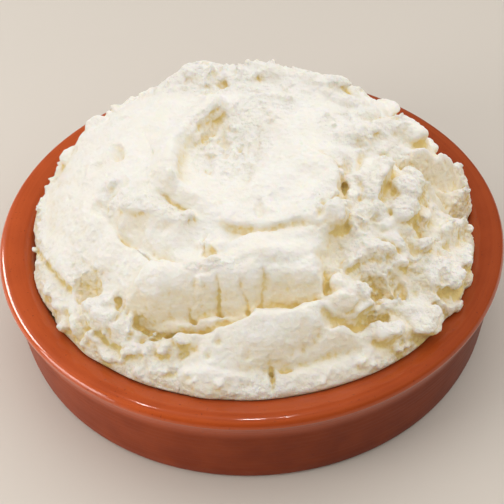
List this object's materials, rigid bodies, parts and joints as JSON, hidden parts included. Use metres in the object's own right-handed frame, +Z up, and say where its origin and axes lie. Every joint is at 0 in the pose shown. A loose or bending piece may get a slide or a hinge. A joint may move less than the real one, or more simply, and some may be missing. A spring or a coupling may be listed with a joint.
{
  "type": "bowl of fresh goat cheese",
  "caption": "Shallow round terracotta dish filled and heaped high with soft fresh goat cheese, smeared into folds.",
  "frame": {"origin": "middle of the dish's foot, on the surface it stands on", "axes": "+Z up out of the heap, +X to the right and +Y to the far side of the heap as it is served"},
  "size_m": [0.15, 0.15, 0.0626],
  "materials": {
    "glazed_terracotta": "glossy clear glaze over red-brown terracotta",
    "fresh_curd": "matte moist ivory white curd, yellower in its creases"
  },
  "bodies": {
    "root": {"dish": "glazed_terracotta", "cheese": "fresh_curd"}
  },
  "joints": []
}
